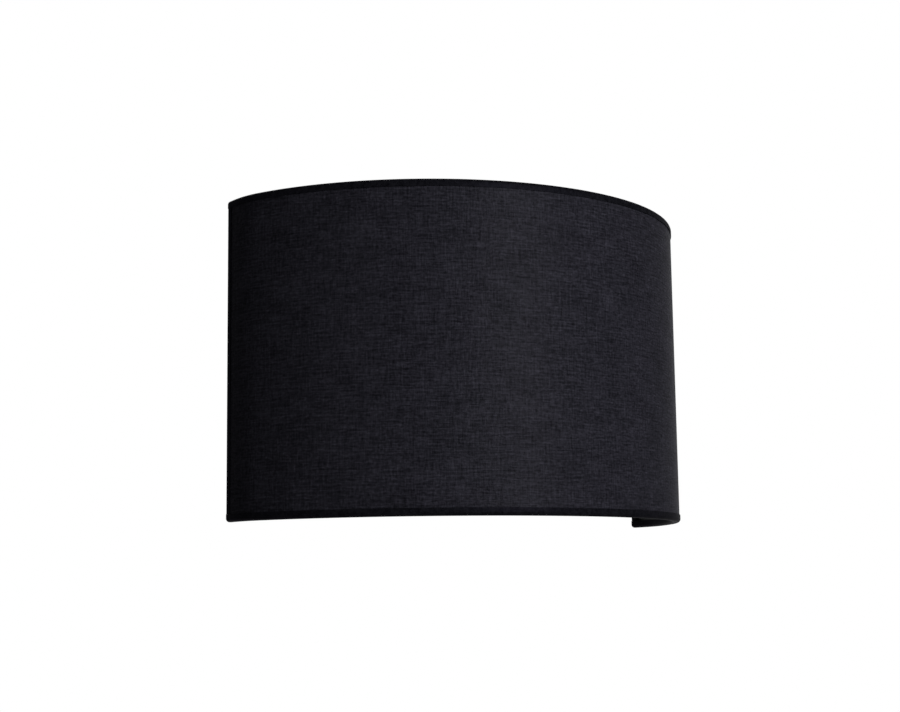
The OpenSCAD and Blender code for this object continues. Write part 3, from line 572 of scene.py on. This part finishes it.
cap_low, cap_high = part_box("bulb_cap")
shell_low, shell_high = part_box("screw_shell")
insulator_low, insulator_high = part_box("bulb_foot_insulator")
cap_r = cap_high.x
cap_collar = 6 * MM
cap_shoulder = 1.2 * MM
cap_taper = 1 * MM
cap_fit = 0.1 * MM
cap_t = 0.35 * MM
shell_t = 0.4 * MM
shell_floor = 3.4 * MM
threaded_tube(
    "rolled_cap",
    "bulb_cap",
    "cap_nickel",
    "bulb",
    cap_low.z + cap_shoulder,
    [(cap_shoulder, cap_r - cap_taper), (0, insulator_high.x + cap_fit)],
    cap_t,
    (cap_low.z + cap_shoulder, cap_high.z - cap_collar),
)
threaded_tube(
    "rolled_shell",
    "screw_shell",
    "brass",
    "wall_unit",
    shell_low.z,
    [(0, shell_high.x - shell_floor)],
    shell_t,
    (cap_low.z + cap_shoulder, shell_high.z),
)


def smooth_copy(name, node, slot, body, degrees):
    """A copy of a CAD node with its doubled points merged and its facets smoothed up to that angle."""
    leave_edit_mode()
    copy = nodes[node].copy()
    copy.data = nodes[node].data.copy()
    copy.name = name
    copy.parent = None
    for key in list(copy.keys()):
        del copy[key]
    bpy.context.scene.collection.objects.link(copy)
    bpy.context.view_layer.objects.active = copy
    copy.select_set(True)
    bpy.ops.mesh.customdata_custom_splitnormals_clear()
    edit_select(copy, "VERT", lambda v: True)
    bpy.ops.mesh.remove_doubles(threshold=MM / 1000)
    bpy.ops.mesh.normals_make_consistent(inside=False)
    shade_smooth(copy, degrees)
    dress(copy, slot, body, node)


for wire, colour in (("live", "brown"), ("neutral", "blue"), ("earth", "green_yellow")):
    smooth_copy(wire + "_wire", wire + "_lead", colour + "_insulation", "wall_unit", 65)
smooth_copy("opal_cover", "bulb_dome", "opal_dome", "bulb", 30)
smooth_copy("driver_housing", "bulb_housing", "bulb_plastic", "bulb", 30)

slots = {entry["node"]: entry["material_slot"] for entry in frame["record"]["subparts"]}
for name, node in nodes.items():
    if not node.hide_render:
        node.data.materials.clear()
        node.data.materials.append(FINISHES[slots[name]])


def seen_rays(tree):
    """1 for the rays that see, mirror or look through, and 0 for those that light."""
    rays = add(tree, "LightPath")
    camera_ray, glossy_ray, through_ray = (
        rays.outputs[f"Is {kind} Ray"] for kind in ("Camera", "Glossy", "Transmission")
    )
    seen = add(tree, "Math", {"operation": "MAXIMUM"}, {0: camera_ray, 1: through_ray})
    return add(tree, "Math", {"operation": "MAXIMUM"}, {0: seen, 1: glossy_ray})


# The floor, 1.5 m below the lamp, which looks pale although the lamps stay on the object
leave_edit_mode()
bpy.ops.mesh.primitive_circle_add(vertices=96, radius=12, fill_type="NGON", location=(0, -0.5, -1.5))
floor = bpy.context.object
floor.name = "floor"
floor_material, floor_tree = start_material("matt white floor")
floor_coords = add(floor_tree, "TexCoord").outputs["Object"]
floor_tone = add(floor_tree, "TexNoise", {"Scale": 3.0, "Detail": 2.0}, {"Vector": floor_coords})
floor_tones = {"data_type": "RGBA", MIX_A: linear("#ededea"), MIX_B: linear("#f4f4f2")}
floor_colour = add(floor_tree, "Mix", floor_tones, {0: floor_tone}).outputs[MIXTURE]
floor_glow = add(floor_tree, "Math", {"operation": "MULTIPLY", 1: 0.8}, {0: seen_rays(floor_tree)})
end_material(
    floor_tree,
    add(
        floor_tree,
        "BsdfPrincipled",
        {"Roughness": 0.8, "Specular IOR Level": 0.1},
        {"Base Color": floor_colour, "Emission Color": floor_colour, "Emission Strength": floor_glow},
    ),
)
floor.data.materials.append(floor_material)

# White studio: seen, mirrored and looked through as white, and dimmer as a light
world = bpy.data.worlds.new("white studio")
bpy.context.scene.world = world
world.use_nodes = True
world.node_tree.nodes.clear()
dim = add(world.node_tree, "Background", {"Color": linear("#ffffff"), "Strength": 0.03})
white = add(world.node_tree, "Background", {"Color": linear("#ffffff"), "Strength": 1.0})
mixed = add(world.node_tree, "MixShader", links={0: seen_rays(world.node_tree), 1: dim, 2: white})
add(world.node_tree, "OutputWorld", links={"Surface": mixed})


def softbox(name, place, target, size, power):
    light = bpy.data.lights.new(name, "AREA")
    light.shape = "RECTANGLE"
    light.size, light.size_y = size
    light.energy = power
    lamp = bpy.data.objects.new(name, light)
    bpy.context.scene.collection.objects.link(lamp)
    lamp.location = place
    lamp.rotation_euler = (Vector(target) - Vector(place)).to_track_quat("-Z", "Y").to_euler()


shade_middle = (0, -0.06, 0.04)
softbox("key softbox", (0.14, -1.57, 0.30), shade_middle, (0.7, 0.9), 26)
softbox("back softbox", (0.85, 1.7, 1.2), shade_middle, (1.7, 1.7), 38)
softbox("low softbox", (0.2, 1.1, -1.2), shade_middle, (1.5, 1.5), 14)

# The camera of the photograph, fitted to the shade's outline
yaw, pitch, roll = math.radians(35.27), math.radians(8.11), math.radians(-0.76)
camera_place = (-0.563, -0.800, -0.0866)
focal_px, frame_px = 1620, 900
sensor_mm = 36
forward = Vector((math.sin(yaw) * math.cos(pitch), math.cos(yaw) * math.cos(pitch), math.sin(pitch)))
level = Vector((math.cos(yaw), -math.sin(yaw), 0))
upward = level.cross(forward)
right = math.cos(roll) * level + math.sin(roll) * upward
up = -math.sin(roll) * level + math.cos(roll) * upward
camera_data = bpy.data.cameras.new("camera")
camera_data.sensor_width = sensor_mm
camera_data.lens = sensor_mm * focal_px / frame_px
camera = bpy.data.objects.new("camera", camera_data)
bpy.context.scene.collection.objects.link(camera)
facing = Matrix((right, up, -forward)).transposed().to_4x4()
camera.matrix_world = Matrix.Translation(camera_place) @ facing
bpy.context.scene.camera = camera
bpy.context.scene.view_settings.view_transform = "Standard"
